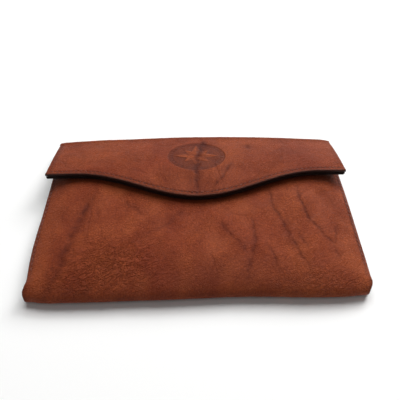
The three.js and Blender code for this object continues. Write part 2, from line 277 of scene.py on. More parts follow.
# ---------------------------------------------------------------- node helpers
class Tree:
    def __init__(self, name):
        self.m = bpy.data.materials.new(name)
        self.m.use_nodes = True
        self.t = self.m.node_tree
        self.t.nodes.clear()
        self.out = self.t.nodes.new("ShaderNodeOutputMaterial")
        self.b = self.t.nodes.new("ShaderNodeBsdfPrincipled")
        self.t.links.new(self.b.outputs[0], self.out.inputs[0])
    def n(self, kind, **kw):
        nd = self.t.nodes.new("ShaderNode" + kind)
        for k, v in kw.items():
            setattr(nd, k, v)
        return nd
    def link(self, a, b):
        self.t.links.new(a, b)
        return b
    def put(self, sock, v):
        if hasattr(v, "is_output") or hasattr(v, "links"):
            self.t.links.new(v, sock)
        else:
            sock.default_value = v
    def math(self, op, a, b=None, c=None, clamp=False):
        nd = self.n("Math", operation=op, use_clamp=clamp)
        self.put(nd.inputs[0], a)
        if b is not None: self.put(nd.inputs[1], b)
        if c is not None: self.put(nd.inputs[2], c)
        return nd.outputs[0]
    def mix(self, f, a, b, mode="MIX"):
        nd = self.n("Mix", data_type="RGBA", blend_type=mode)
        self.put(nd.inputs[0], f)
        self.put(nd.inputs[6], a)
        self.put(nd.inputs[7], b)
        return nd.outputs[2]
    def ramp(self, f, stops):
        nd = self.n("ValToRGB")
        els = nd.color_ramp.elements
        while len(els) < len(stops): els.new(0.5)
        for e, (p, c) in zip(els, stops):
            e.position = p
            e.color = (c, c, c, 1) if isinstance(c, (int, float)) else (*c, 1)
        self.put(nd.inputs[0], f)
        return nd.outputs[0]
    def noise(self, vec, scale, detail=2.0, rough=0.5, distort=0.0):
        nd = self.n("TexNoise")
        self.put(nd.inputs["Vector"], vec)
        nd.inputs["Scale"].default_value = scale
        nd.inputs["Detail"].default_value = detail
        nd.inputs["Roughness"].default_value = rough
        nd.inputs["Distortion"].default_value = distort
        return nd.outputs[0]
    def voronoi(self, vec, scale, feature="F1", rand=1.0):
        nd = self.n("TexVoronoi", feature=feature)
        self.put(nd.inputs["Vector"], vec)
        nd.inputs["Scale"].default_value = scale
        nd.inputs["Randomness"].default_value = rand
        return nd.outputs[0]
    def attr(self, name):
        return self.n("Attribute", attribute_name=name).outputs["Fac"]
    def uv(self):
        return self.n("UVMap", uv_map="hide_mm").outputs[0]
    def mapping(self, vec, scale=(1, 1, 1), rot=(0, 0, 0), loc=(0, 0, 0)):
        nd = self.n("Mapping")
        self.put(nd.inputs[0], vec)
        nd.inputs["Location"].default_value = loc
        nd.inputs["Rotation"].default_value = rot
        nd.inputs["Scale"].default_value = scale
        return nd.outputs[0]
    def bump(self, height, dist, strength=1.0, normal=None):
        nd = self.n("Bump")
        nd.inputs["Strength"].default_value = strength
        nd.inputs["Distance"].default_value = dist
        self.put(nd.inputs["Height"], height)
        if normal is not None: self.put(nd.inputs["Normal"], normal)
        return nd.outputs[0]

def leather(name, light, mid, dark, rim, rough=0.5, grain=1.0, cell=1.5, veins=True, suede=False, spec=0.2, burnish=(0.11, 0.04, 0.03)):
    """Grain leather on UVs in millimetres. Reads the attributes mark, rim, wear, press and wrinkle, a darker tone that
    is partly painted shade, and a lighter tone that is partly painted highlight.
    """
    t = Tree(name)
    uv = t.uv()
    warp = t.n("TexNoise"); warp.inputs["Scale"].default_value = 0.16; warp.inputs["Detail"].default_value = 2.0
    t.link(uv, warp.inputs["Vector"])
    off = t.n("VectorMath", operation="SCALE"); t.link(warp.outputs[1], off.inputs[0]); off.inputs[3].default_value = 3.0
    addv = t.n("VectorMath", operation="ADD"); t.link(uv, addv.inputs[0]); t.link(off.outputs[0], addv.inputs[1])
    w = addv.outputs[0]
    # colour: broad mottling, cloudy patches, a marbled web, fine speckle
    broad = t.noise(uv, 0.022, 3.0, 0.55)
    cloud = t.noise(w, 0.085, 5.0, 0.62, 0.6)
    fine = t.noise(uv, 0.75, 4.0, 0.65)
    spots = t.noise(t.mapping(uv, (1, 1.35, 1)), 0.33, 3.0, 0.6)
    c = t.mix(t.ramp(broad, [(0.34, 0.0), (0.66, 1.0)]), (*mid, 1), (*light, 1))
    c = t.mix(t.math("MULTIPLY", t.ramp(cloud, [(0.38, 1.0), (0.62, 0.0)]), 0.30), c, (*dark, 1))
    c = t.mix(t.math("MULTIPLY", t.ramp(spots, [(0.30, 1.0), (0.46, 0.0)]), 0.26), c, (*dark, 1))
    c = t.mix(t.math("MULTIPLY", t.ramp(fine, [(0.36, 1.0), (0.62, 0.0)]), 0.42), c, (*dark, 1))
    v1 = t.voronoi(w, 1.0 / cell, "DISTANCE_TO_EDGE")
    v2 = t.voronoi(t.mapping(w, (1, 1, 1), (0, 0, 0.9)), 2.1 / cell, "DISTANCE_TO_EDGE")
    c = t.mix(t.math("MULTIPLY", t.ramp(v1, [(0.0, 1.0), (0.18, 0.0)]), 0.42), c, (*dark, 1))
    web = t.voronoi(t.mapping(w, (1.0, 0.62, 1.0), (0, 0, 0.5)), 0.055, "DISTANCE_TO_EDGE")
    webm = t.math("MULTIPLY", t.ramp(web, [(0.0, 1.0), (0.045, 0.0)]), t.ramp(t.noise(uv, 0.04, 1.0), [(0.52, 0.0), (0.66, 1.0)]))
    if veins:
        c = t.mix(t.math("MULTIPLY", webm, 0.30), c, (*dark, 1))
    mark = t.attr("mark")
    vein_c = tuple(v * k for v, k in zip(dark, (0.50, 0.46, 0.60)))
    ragged = t.math("MULTIPLY", mark, t.ramp(t.noise(uv, 0.5, 3.0, 0.6), [(0.25, 0.65), (0.65, 1.0)]))
    c = t.mix(t.math("MULTIPLY", ragged, 0.95, clamp=True), c, (*vein_c, 1))
    press = t.attr("press")
    c = t.mix(t.math("MULTIPLY", press, 0.74), c, tuple(v * 0.50 for v in dark) + (1,))
    wear = t.attr("wear")
    wear_n = t.math("MULTIPLY", wear, t.ramp(t.noise(uv, 0.5, 4.0, 0.7), [(0.38, 0.25), (0.62, 1.0)]))
    c = t.mix(t.math("MULTIPLY", wear_n, 0.9, clamp=True), c, (*burnish, 1))
    # darker tone: random tone in the hide, partly painted shade
    tone_and_shade = t.attr("tone_and_shade")
    c = t.mix(t.math("MULTIPLY", tone_and_shade, 0.60, clamp=True), c, tuple(v * 0.62 for v in dark) + (1,))
    # lighter golden tone: random tone in the hide, partly painted highlight
    light_tone_and_highlight = t.attr("light_tone_and_highlight")
    c = t.mix(t.math("MULTIPLY", light_tone_and_highlight, 0.75, clamp=True), c, tuple(min(1, v * k) for v, k in zip(light, (1.04, 1.12, 1.2))) + (1,))
    rimm = t.attr("rim")
    c = t.mix(rimm, c, (*rim, 1))
    t.link(c, t.b.inputs["Base Color"])
    # grain: pebbles with creases between, pores, long fine wrinkles
    peb = t.math("MULTIPLY", t.ramp(v1, [(0.0, 0.0), (0.22, 1.0)]), 0.55)
    peb = t.math("ADD", peb, t.math("MULTIPLY", t.ramp(v2, [(0.0, 0.0), (0.25, 1.0)]), 0.45))
    calm = t.ramp(t.noise(uv, 0.06, 2.0), [(0.35, 0.35), (0.65, 1.0)])
    smooth_by_press = t.math("SUBTRACT", 1.0, t.math("MULTIPLY", press, 0.75))
    peb = t.math("MULTIPLY", t.math("MULTIPLY", peb, calm), smooth_by_press)
    turned = t.mapping(w, (1, 1, 1), (0, 0, -0.62))
    wr = t.noise(t.mapping(turned, (0.45, 1.25, 1)), 0.62, 4.0, 0.62)
    micro = t.noise(uv, 3.2, 3.0, 0.6)
    wrinkle_zone = t.attr("wrinkle")
    ridges = t.math("ABSOLUTE", t.math("SUBTRACT", t.noise(t.mapping(turned, (0.50, 1.35, 1)), 0.40, 3.0, 0.55), 0.5))
    h = t.math("ADD", t.math("MULTIPLY", peb, 0.55), t.math("MULTIPLY", wr, 0.9))
    h = t.math("ADD", h, t.math("MULTIPLY", micro, 0.22))
    crease = t.math("MULTIPLY", t.ramp(ridges, [(0.0, 1.0), (0.085, 0.0)]), t.math("ADD", t.math("MULTIPLY", wrinkle_zone, 0.95), 0.10))
    h = t.math("SUBTRACT", h, t.math("MULTIPLY", crease, 1.05))
    h = t.math("SUBTRACT", h, t.math("MULTIPLY", mark, 0.7))
    if veins:
        h = t.math("SUBTRACT", h, t.math("MULTIPLY", webm, 0.35))
    h = t.math("MULTIPLY", h, t.math("SUBTRACT", 1.0, t.math("MULTIPLY", rimm, 0.7)))
    t.link(t.bump(h, 0.00060 * grain, 1.0), t.b.inputs["Normal"])
    r = t.math("ADD", t.math("MULTIPLY", t.ramp(peb, [(0.1, 1.0), (0.8, 0.0)]), 0.10), t.math("MULTIPLY", t.noise(uv, 0.2, 3.0), 0.16))
    r = t.math("ADD", r, rough - 0.10)
    r = t.math("SUBTRACT", r, t.math("MULTIPLY", press, 0.10))
    r = t.math("ADD", r, t.math("MULTIPLY", mark, 0.06), clamp=True)
    t.link(r, t.b.inputs["Roughness"])
    t.b.inputs["Specular IOR Level"].default_value = spec
    if suede:
        t.b.inputs["Sheen Weight"].default_value = 0.12
        t.b.inputs["Sheen Roughness"].default_value = 0.5
        t.b.inputs["Sheen Tint"].default_value = (0.7, 0.5, 0.4, 1)
    return t.m

def cloth(name, light, dark):
    t = Tree(name)
    uv = t.uv()
    rot = t.mapping(uv, (1, 1, 1), (0, 0, math.radians(45)))
    wv = t.n("TexWave", wave_type="BANDS", bands_direction="X", wave_profile="SIN")
    t.link(rot, wv.inputs["Vector"]); wv.inputs["Scale"].default_value = 0.42
    wv.inputs["Distortion"].default_value = 0.35; wv.inputs["Detail"].default_value = 1.0
    sep = t.n("TexWave", wave_type="BANDS", bands_direction="Y", wave_profile="SIN")
    t.link(uv, sep.inputs["Vector"]); sep.inputs["Scale"].default_value = 0.8
    sep.inputs["Distortion"].default_value = 0.2
    h = t.math("ADD", t.math("MULTIPLY", wv.outputs[1], 0.7), t.math("MULTIPLY", sep.outputs[1], 0.3))
    var = t.noise(uv, 0.05, 3.0)
    c = t.mix(t.math("MULTIPLY", h, 0.75), (*dark, 1), (*light, 1))
    c = t.mix(t.math("MULTIPLY", t.ramp(var, [(0.35, 1), (0.65, 0)]), 0.35), c, (*dark, 1))
    t.link(c, t.b.inputs["Base Color"])
    t.link(t.math("ADD", 0.78, t.math("MULTIPLY", var, 0.15)), t.b.inputs["Roughness"])
    t.b.inputs["Sheen Weight"].default_value = 0.2
    t.b.inputs["Sheen Roughness"].default_value = 0.5
    t.b.inputs["Specular IOR Level"].default_value = 0.25
    t.link(t.bump(h, 0.00012, 1.0), t.b.inputs["Normal"])
    return t.m

def thread(name, light, dark):
    t = Tree(name)
    co = t.n("TexCoord").outputs["Object"]
    nz = t.noise(co, 900.0, 2.0)
    tw = t.n("TexWave", wave_type="BANDS", bands_direction="DIAGONAL"); t.link(co, tw.inputs["Vector"])
    tw.inputs["Scale"].default_value = 900.0
    c = t.mix(t.math("MULTIPLY", tw.outputs[1], 0.6), (*dark, 1), (*light, 1))
    c = t.mix(t.math("MULTIPLY", nz, 0.3), c, (*dark, 1))
    t.link(c, t.b.inputs["Base Color"])
    t.link(t.math("ADD", 0.5, t.math("MULTIPLY", nz, 0.2)), t.b.inputs["Roughness"])
    t.b.inputs["Sheen Weight"].default_value = 0.15
    t.link(t.bump(tw.outputs[1], 0.00006, 0.8), t.b.inputs["Normal"])
    return t.m

def metal(name, col, dark, rough=0.28):
    t = Tree(name)
    co = t.n("TexCoord").outputs["Object"]
    nz = t.noise(co, 400.0, 4.0, 0.6)
    pat = t.noise(co, 120.0, 3.0, 0.6)
    c = t.mix(t.ramp(pat, [(0.42, 0.0), (0.68, 0.75)]), (*col, 1), (*dark, 1))
    t.link(c, t.b.inputs["Base Color"])
    t.b.inputs["Metallic"].default_value = 1.0
    t.link(t.math("ADD", rough, t.math("MULTIPLY", nz, 0.16)), t.b.inputs["Roughness"])
    t.link(t.bump(nz, 0.00002, 0.5), t.b.inputs["Normal"])
    return t.m

M_OUT = leather("outer_leather", (0.368, 0.0810, 0.0230), (0.274, 0.0495, 0.0150), (0.114, 0.0155, 0.0058), (0.022, 0.010, 0.009), rough=0.50, spec=0.12, burnish=(0.112, 0.040, 0.028))
M_EDGE = leather("edge_paint", (0.034, 0.015, 0.012), (0.024, 0.011, 0.009), (0.012, 0.006, 0.005), (0.022, 0.010, 0.008), rough=0.50, grain=0.4, veins=False, spec=0.16)
M_IN = leather("inner_leather", (0.120, 0.036, 0.017), (0.096, 0.028, 0.013), (0.055, 0.015, 0.007), (0.030, 0.011, 0.007), rough=0.58, grain=0.7, cell=1.1, veins=False, spec=0.2)
M_SUEDE = leather("flap_lining_leather", (0.034, 0.014, 0.010), (0.024, 0.010, 0.007), (0.012, 0.005, 0.004), (0.006, 0.003, 0.003), rough=0.66, grain=0.6, cell=0.9, veins=False, suede=True, spec=0.12)
M_CLOTH = cloth("lining_cloth", (0.20, 0.115, 0.065), (0.085, 0.045, 0.026))
M_THREAD = thread("thread_dark", (0.270, 0.055, 0.024), (0.120, 0.025, 0.012))
M_THREAD_IN = thread("thread_inner", (0.21, 0.10, 0.055), (0.10, 0.045, 0.026))
M_BRASS = metal("stud_brass", (0.62, 0.43, 0.19), (0.30, 0.19, 0.08))

ZERO = lambda n: np.zeros(n)
def add_piece(ob, body, replaces=()):
    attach(ob, body)
    if replaces:
        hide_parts(*replaces)
    return ob

# ---------------------------------------------------------------- stitches
def stitches(name, points, normals, pitch=3.3, length=2.5, radius=0.26, lift=0.06, mat=None, slant=0.10):
    """A row of thread stitches along a line of points (mm), each a small arched capsule whose ends dip into the leather."""
    P, N = np.asarray(points, float), np.asarray(normals, float)
    seg = np.linalg.norm(np.diff(P, axis=0), axis=1)
    s = np.concatenate([[0], np.cumsum(seg)])
    count = max(1, int(s[-1] // pitch))
    start = (s[-1] - count * pitch) / 2 + pitch / 2
    ring, cols = 8, 7
    verts, faces = [], []
    at = lambda v: np.array([np.interp(v, s, P[:, k]) for k in range(3)])
    nat = lambda v: np.array([np.interp(v, s, N[:, k]) for k in range(3)])
    for k in range(count):
        c = start + k * pitch
        a, b = at(c - length / 2), at(c + length / 2)
        t = (b - a) / np.linalg.norm(b - a)
        n = nat(c); n = n - t * (n @ t); n /= np.linalg.norm(n)
        bi = np.cross(n, t)
        t = t + bi * slant; t /= np.linalg.norm(t); bi = np.cross(n, t)
        base = len(verts)
        mid = at(c)
        for i in range(cols):
            u = -1 + 2 * i / (cols - 1)
            rr = radius * math.sqrt(max(0.0, 1 - abs(u) ** 3.2)) if abs(u) < 1 else 0.0
            rr = max(rr, radius * 0.12)
            cen = mid + t * (u * length / 2) + n * (lift + 0.16 * (1 - u * u) - 0.20 * abs(u) ** 4)
            for j in range(ring):
                th = 2 * math.pi * j / ring
                verts.append(cen + bi * (rr * math.cos(th)) + n * (rr * 0.85 * math.sin(th)))
        for i in range(cols - 1):
            for j in range(ring):
                j2 = (j + 1) % ring
                faces.append((base + i * ring + j, base + (i + 1) * ring + j, base + (i + 1) * ring + j2, base + i * ring + j2))
        faces.append(tuple(base + j for j in range(ring)))
        faces.append(tuple(base + (cols - 1) * ring + j for j in reversed(range(ring))))
    return new_mesh(name, np.array(verts), faces, mats=[mat or M_THREAD])

# ================================================================= outer leather: front, bottom fold, back
def body_outer():
    R = 0.75  # rim allowance
    xs = graded(-HX + R, HX - R, 0.62, 0.28, 6.0)
    front = np.concatenate([np.linspace(Y_MOUTH - R, Y_MOUTH - 5, 16, endpoint=False), np.linspace(Y_MOUTH - 5, YC + 0.01, 176, endpoint=False)])
    up, low = np.linspace(math.pi / 2, 0, 20, endpoint=False), np.linspace(math.pi / 2, 0, 18)
    back = np.concatenate([np.linspace(YC + 0.9, HINGE_Y - 1.5, 110)])
    rows, sl = [], 0.0
    X = np.tile(xs, (len(front), 1)); Y = np.tile(front[:, None], (1, len(xs)))
    def lay(X, Y, Z, Yend=None):
        px, py = place(X, Y)
        return np.stack([px, py if Yend is None else Yend + bow(X, Y), Z], 2)
    parts = [lay(X, Y, z_front(X, Y))]
    # the fold: rounder at its two ends, more so on the right
    ry = RF - np.where(xs < 0, 0.9, 1.2) * np.abs(xs / HX) ** np.where(xs < 0, 12, 16)
    Y = np.tile((YF + RF * (1 - np.cos(up)))[:, None], (1, len(xs))); X = np.tile(xs, (len(up), 1))
    parts.append(lay(X, Y, z_front(X, Y), YC + (Y - YC) * ry / RF))
    Y = np.tile((YC - RF * np.sin(low))[:, None], (1, len(xs))); X = np.tile(xs, (len(low), 1))
    zc = ZC_END + (ZC - ZC_END) * crown(xs, 8)
    parts.append(lay(X, Y, zc[None] * (1 - np.cos(low))[:, None], YC + (Y - YC) * ry / RF))
    X = np.tile(xs, (len(back), 1)); Y = np.tile(back[:, None], (1, len(xs)))
    parts.append(lay(X, Y, np.zeros_like(X)))
    G = np.concatenate(parts)
    # G runs from the mouth forward, round and back: u x v points inwards, so flip u
    G = G[:, ::-1]
    nrm = normals_of(G)
    isback = np.concatenate([np.zeros(len(front) + len(up)), ss(0.1, 0.9, 1 - low / (math.pi / 2)), np.ones(len(back))])[:, None]
    step = np.linalg.norm(np.diff(G, axis=0), axis=2).mean(1)
    S = np.concatenate([[0], np.cumsum(step)])[:, None] * np.ones((1, G.shape[1]))
    x, y = G[:, :, 0], G[:, :, 1]
    W = half_width(x, y)
    isfront = 1 - isback
    # soft relief
    h = 0.30 * fbm(x / 42 + 3, S / 38, 3) + 0.07 * fbm(x / 9, S / 8, 3)
    mk = marks(x, y, MARKS_FRONT) * isfront
    h = h - 0.28 * mk
    ed = np.minimum(W - R - np.abs(x), 8) / 8
    h = h * (0.25 + 0.75 * ed) * isfront
    gs = np.exp(-((W - 2.6 - np.abs(x)) / 0.5) ** 2) * ss(-54, -50, y) * (0.45 * isfront + 0.35 * isback)
    mouth = np.exp(-((Y_MOUTH - 3.2 - y) / 0.45) ** 2) * isfront * (np.abs(x) < 96)
    lip = 0.34 * (1 - ss(0.6, 2.6, np.abs(W - np.abs(x)))) * isfront * ss(-60, -54, y)
    # a soft dent where the sewn side opens into the fold, and slack creases running up from the fold's ends
    dent = 0.5 * np.exp(-((x + 92) / 5) ** 2 - ((y + 50) / 5) ** 2) + 0.4 * np.exp(-((x - 93) / 5) ** 2 - ((y + 50) / 5) ** 2)
    lip = lip + 0.9 * dent * isfront
    h = h - 0.32 * gs - 0.28 * mouth - lip * 0.5
    h = np.where(isback > 0.5, np.minimum(h, 0.0) - 0.0, h)
    fade = ss(0, 7, HX - R - np.abs(x))
    O = G + nrm * h[:, :, None]
    O[:, :, 2] = np.maximum(O[:, :, 2], 0.0)
    I = G - nrm * LEATHER
    uv = np.stack([x, -S], 2)
    V, F, UV, rimn, side = shell(O, I, rim=5, bulge=0.5, uvO=uv)
    n = G.shape[0] * G.shape[1]
    per = len(V) - 2 * n
    def full(a, rimval=0.0):
        return np.concatenate([a.ravel(), np.zeros(n), np.full(per, rimval)])
    back_mark = 0.5 * np.clip(fbm(x / 20, S / 34, 4) - 0.30, 0, 1) * isback + 0.8 * marks(x, y, MARKS_BACK) * isback
    edge = np.exp(-(np.minimum(W - R - np.abs(x), 50) / 0.8) ** 2)
    blot = lambda cx, cy, rx, ry, k: k * np.exp(-((x - cx) / rx) ** 2 - ((y - cy) / ry) ** 2)
    # Darker tone: random tone in the hide and a slightly darker back, plus painted shade: the broad darkening along the
    # bottom of the front panel towards the fold and at the lower left.
    tone_and_shade = blot(4, -57, 56, 12, 0.56) + blot(-58, -40, 26, 13, 0.16) + blot(-20, -22, 30, 16, 0.10) + blot(-88, 0, 9, 40, 0.10) + blot(-66, -18, 8, 30, 0.04)
    tone_and_shade = (tone_and_shade + 0.10 * fbm(x / 22 + 7, y / 26 + 2, 4)) * isfront + 0.12 * isback
    wr = 1.15 * np.exp(-(((x + 50) / 27) ** 2 + ((y + 48) / 16) ** 2)) * isfront + 0.30 * np.exp(-(((x - 62) / 20) ** 2 + ((y + 30) / 20) ** 2)) * isfront
    wr = wr + 0.5 * np.exp(-((S - (front[0] - YC)) / 7) ** 2) * (np.abs(x) > 60)
    attrs = {
        "mark": full(np.clip(mk + back_mark, 0, 1)),
        "press": full(np.clip(gs * 1.6 + 0.8 * np.exp(-((W - 2.9 - x) / 0.75) ** 2) * isfront * ss(-58, -50, y) + mouth + 0.55 * np.exp(-((W - 1.2 - np.abs(x)) / 1.3) ** 2) * isfront, 0, 1)),
        "wear": full(np.clip(0.40 * edge * isfront, 0, 1), 0.3),
        "tone_and_shade": full(np.clip(tone_and_shade, 0, 1)),
        # Lighter golden patches: random tone in the hide, plus painted light on the patches at the two lower corners
        # and on the left of the front panel.
        "light_tone_and_highlight": full(np.clip(blot(87, -50, 11, 13, 0.42) + blot(-91, -50, 5, 12, 0.35) + blot(-86, -22, 8, 16, 0.18) + blot(-50, 12, 20, 12, 0.22) + 0.30 * fbm(x / 17 + 21, y / 24 + 8, 3), 0, 1) * isfront * (1 - np.clip(mk, 0, 1))),
        "wrinkle": full(np.clip(wr, 0, 1)),
        "rim": rimn,
    }
    # faces of the inner side use the inner leather; rims the painted edge
    fs = side[F].mean(1)
    fm = np.where(fs > 0.4, 1, 0)
    rf = rimn[F].mean(1)
    fm = np.where(rf > 0.5, 2, fm)
    ob = new_mesh("outer_leather_body", V, F, UV, attrs, [M_OUT, M_IN, M_EDGE], fm)
    return ob
outer_body = body_outer()
add_piece(outer_body, "wallet", ("front_panel", "bottom_fold", "back_panel"))

# ================================================================= rear fold and flap
EMB = (0.3, 36.6, 20.2, 16.2)   # centre and half-sizes of the embossed rose
def emblem(x, y):
    """Height (mm, negative is pressed in), mask and painted highlight of a generic compass rose pressed into the flap;
    one side of each star point is painted lit and the other painted in shade.
    """
    u, w = (x - EMB[0]) / EMB[2], (y - EMB[1]) / EMB[3]
    r = np.hypot(u, w)
    th = np.arctan2(w, u)
    disc = 1 - ss(0.95, 1.0, r)
    ring = np.exp(-((r - 0.965) / 0.03) ** 2)
    ring2 = np.exp(-((r - 0.83) / 0.02) ** 2)
    def star(R, rot, k):
        a = np.abs(((th - rot + math.pi / 4) % (math.pi / 2)) - math.pi / 4)
        # four long points: a straight-sided point from R at a=0 to k*R at a=45 degrees
        px, py = R, 0.0
        qx, qy = k * R * math.cos(math.pi / 4), k * R * math.sin(math.pi / 4)
        cx, cy = r * np.cos(a), r * np.sin(a)
        cross = (qx - px) * (cy - py) - (qy - py) * (cx - px)
        return cross / math.hypot(qx - px, qy - py)   # positive inside
    s1, s2 = star(0.80, 0, 0.36), star(0.60, math.pi / 4, 0.46)
    inside = np.maximum(ss(-0.012, 0.018, s1), 0.8 * ss(-0.012, 0.018, s2))
    # Facet weight: 1 on the side of each star point that is raised higher and painted lit, 0.55 on the side painted in
    # shade.
    lit_facet = np.where(np.sin(th * 4) > 0, 1.0, 0.55)
    ticks = np.exp(-((r - 0.875) / 0.035) ** 2) * (np.cos(th * 32) > 0.35)
    hub = np.exp(-(r / 0.06) ** 2)
    h = -0.30 * disc - 0.05 * ring - 0.10 * ring2 + 0.30 * inside * lit_facet * (1 - hub) - 0.12 * ticks * disc
    cell = 0.12 * fbm(u * 5 + 3, w * 4, 3)
    line = np.exp(-(np.minimum(np.abs(s1), np.abs(s2)) / 0.012) ** 2) * (r < 0.80)
    # Darkening mask: the pressed disc, rings, ticks and outlines are darker; the facet term leaves the lit side of each
    # point light and paints shade on the other side.
    mask = np.clip((0.74 + cell) * disc + 0.20 * ring + 0.34 * ring2 - 0.75 * inside * lit_facet * (1 - hub) + 0.34 * ticks * disc + 0.55 * line, 0, 1)
    # Painted highlight on the lit side of each star point.
    light_tone_and_highlight = np.clip(inside * (lit_facet - 0.25) * (1 - hub) * (1 - 0.5 * line), 0, 1)
    return h, mask * (1 - ss(1.0, 1.04, r)), light_tone_and_highlight

FOLD_N = 26
def flap_grid(xs, rows, inset_edge):
    """Outer surface of the rear fold and flap: rows 0..1 along the flap after FOLD_N rows of fold."""
    top = z_flap(xs, 6.0)
    a = np.linspace(-math.pi / 2, math.pi / 2, FOLD_N, endpoint=False)[:, None]
    t = (a + math.pi / 2) / math.pi
    rnd = np.where(xs < 0, 0.16, 0.42) * np.clip((np.abs(xs) - np.where(xs < 0, 95, 91)) / np.where(xs < 0, 4.5, 8.5), 0, 1) ** 2.2
    Yf = HINGE_Y - 1.3 * (1 - t) + 6.5 * np.cos(a) * (1 - rnd[None])
    Zf = top[None] / 2 * (1 + np.sin(a))
    Xf = np.tile(xs, (FOLD_N, 1))
    edge = YR - flap_len(xs) + inset_edge
    Y = HINGE_Y + (edge - HINGE_Y)[None] * rows[:, None]
    X = np.tile(xs, (len(rows), 1))
    Z = z_flap(X, YR - Y)
    pull = np.where(X < 0, 0.0065, 0.0015) * np.sin(np.pi * np.clip((YR - Y) / 46.3, 0, 1)) ** 0.7
    return np.concatenate([np.stack([Xf, Yf, Zf], 2), np.stack([X * (1 - pull), Y, Z], 2)])

def flap_outer():
    R = 0.65
    m = np.linspace(-21.5, 21.5, 150)
    side = graded(21.5, HX - R, 0.85, 0.30, 5.0)[1:]
    side = np.concatenate([np.arange(21.8, 90, 0.85), np.linspace(90.2, HX - R, 30)])
    xs = np.concatenate([-side[::-1], m, side])
    rows = np.concatenate([np.linspace(0, 0.085, 7, endpoint=False), np.linspace(0.085, 0.64, 112, endpoint=False), np.linspace(0.64, 0.90, 24, endpoint=False), np.linspace(0.90, 1.0, 22)])
    G = flap_grid(xs, rows, R)
    nrm = normals_of(G)
    # u (+X) x v (upwards then towards -Y) : outward is +Z on the flap? x × (−y) = −z, so flip u
    G = G[:, ::-1]; nrm = normals_of(G)
    x, y, z = G[:, :, 0], G[:, :, 1], G[:, :, 2]
    step = np.linalg.norm(np.diff(G, axis=0), axis=2).mean(1)
    S = np.concatenate([[0], np.cumsum(step)])[:, None] * np.ones((1, G.shape[1]))
    onflap = np.concatenate([np.zeros(FOLD_N), np.ones(len(rows))])[:, None] * np.ones_like(x)
    blendin = np.concatenate([ss(0.5, 1.0, np.linspace(0, 1, FOLD_N)), np.ones(len(rows))])[:, None]
    edge = YR - flap_len(x)
    # distance to the flap's edge, along the surface in plan
    slope = np.gradient(YR - flap_len(x[-1]), x[-1])[None] * np.ones_like(x)
    de = (y - edge) / np.sqrt(1 + slope ** 2)
    ds = HX - np.abs(x)
    dd = np.where(onflap > 0, np.minimum(de, ds), ds)
    h = 0.28 * fbm(x / 40 + 9, S / 34 + 5, 3) + 0.06 * fbm(x / 8 + 5, S / 8, 3)
    mk = marks(x, y, MARKS_FLAP) * blendin
    eh, em, emblem_highlight = emblem(x, y)
    em = em * blendin; eh = eh * blendin
    h = h * np.clip(dd / 8, 0.2, 1) - 0.22 * mk * (1 - 0.3 * em)
    groove = np.exp(-((dd - 2.5) / 0.5) ** 2) * blendin * onflap
    h = h - (0.22 * (de < ds) + 0.10) * groove + eh
    h = h - 0.16 * (1 - ss(0.4, 1.8, dd)) * onflap
    # short creases where the leather turns over the rear fold
    cre = np.exp(-((S - 19) / 5.5) ** 2)
    h = h + 0.05 * cre * fbm(x / 5, S / 1.6, 3) * 1.2
    h = h * blendin + 0.0
    O = G + nrm * h[:, :, None]
    O[:, :, 2] = np.maximum(O[:, :, 2], 0.0)
    tk = np.concatenate([np.linspace(LEATHER, FLAP_T, FOLD_N), np.full(len(rows), FLAP_T)])[:, None]
    tk = tk + 0.55 * (1 - ss(0.6, 4.5, de)) * onflap * ss(56, 40, y)
    I = G - nrm * tk[:, :, None]
    uv = np.stack([x, 400 - S], 2)
    V, F, UV, rimn, sd = shell(O, I, rim=5, bulge=0.5, uvO=uv)
    n = x.size; per = len(V) - 2 * n
    full = lambda a, rv=0.0: np.concatenate([a.ravel(), np.zeros(n), np.full(per, rv)])
    burnish = np.exp(-(np.maximum(de - 0.65, 0) / 0.35) ** 2) * onflap
    attrs = {
        "mark": full(np.clip(mk, 0, 1)),
        # the emblem's share of press is partly painted shade on one side of each star point
        "press": full(np.clip(em + groove * 0.22 * (de < ds) + (0.30 + 0.35 * (x < 0) * (ds < de)) * np.exp(-((dd - 2.6) / 1.7) ** 2) * onflap * (1 - burnish), 0, 1)),
        "wear": full(np.clip(1.6 * burnish * (de < ds + 1.5) + 0.5 * np.exp(-(np.maximum(ds - 0.5, 0) / 0.45) ** 2), 0, 1), 1.0),
        # painted highlight on the lit side of each star point of the emblem
        "light_tone_and_highlight": full(np.clip(0.70 * emblem_highlight * (1 - 0.9 * mk), 0, 1)),
        # darker tone: random tone, plus a darker area towards the flap's tip that is painted shade
        "tone_and_shade": full(np.clip(0.12 * fbm(x / 20 + 3, S / 18, 4) + 0.22 * np.exp(-((x + 4) / 34) ** 2 - ((y - 10) / 15) ** 2) + 0.08, 0, 1)),
        "wrinkle": full(np.clip(0.5 * cre + 0.25 * np.exp(-(((x - 60) / 25) ** 2 + ((y - 30) / 18) ** 2)), 0, 1)),
        "rim": rimn,
    }
    fs = sd[F].mean(1)
    fm = np.where(fs > 0.4, 1, 0)
    fm = np.where(rimn[F].mean(1) > 0.5, 2, fm)
    return new_mesh("outer_leather_flap", V, F, UV, attrs, [M_OUT, M_SUEDE, M_EDGE], fm)
outer_flap = flap_outer()
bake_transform(outer_flap)
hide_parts("rear_fold", "flap_leather")

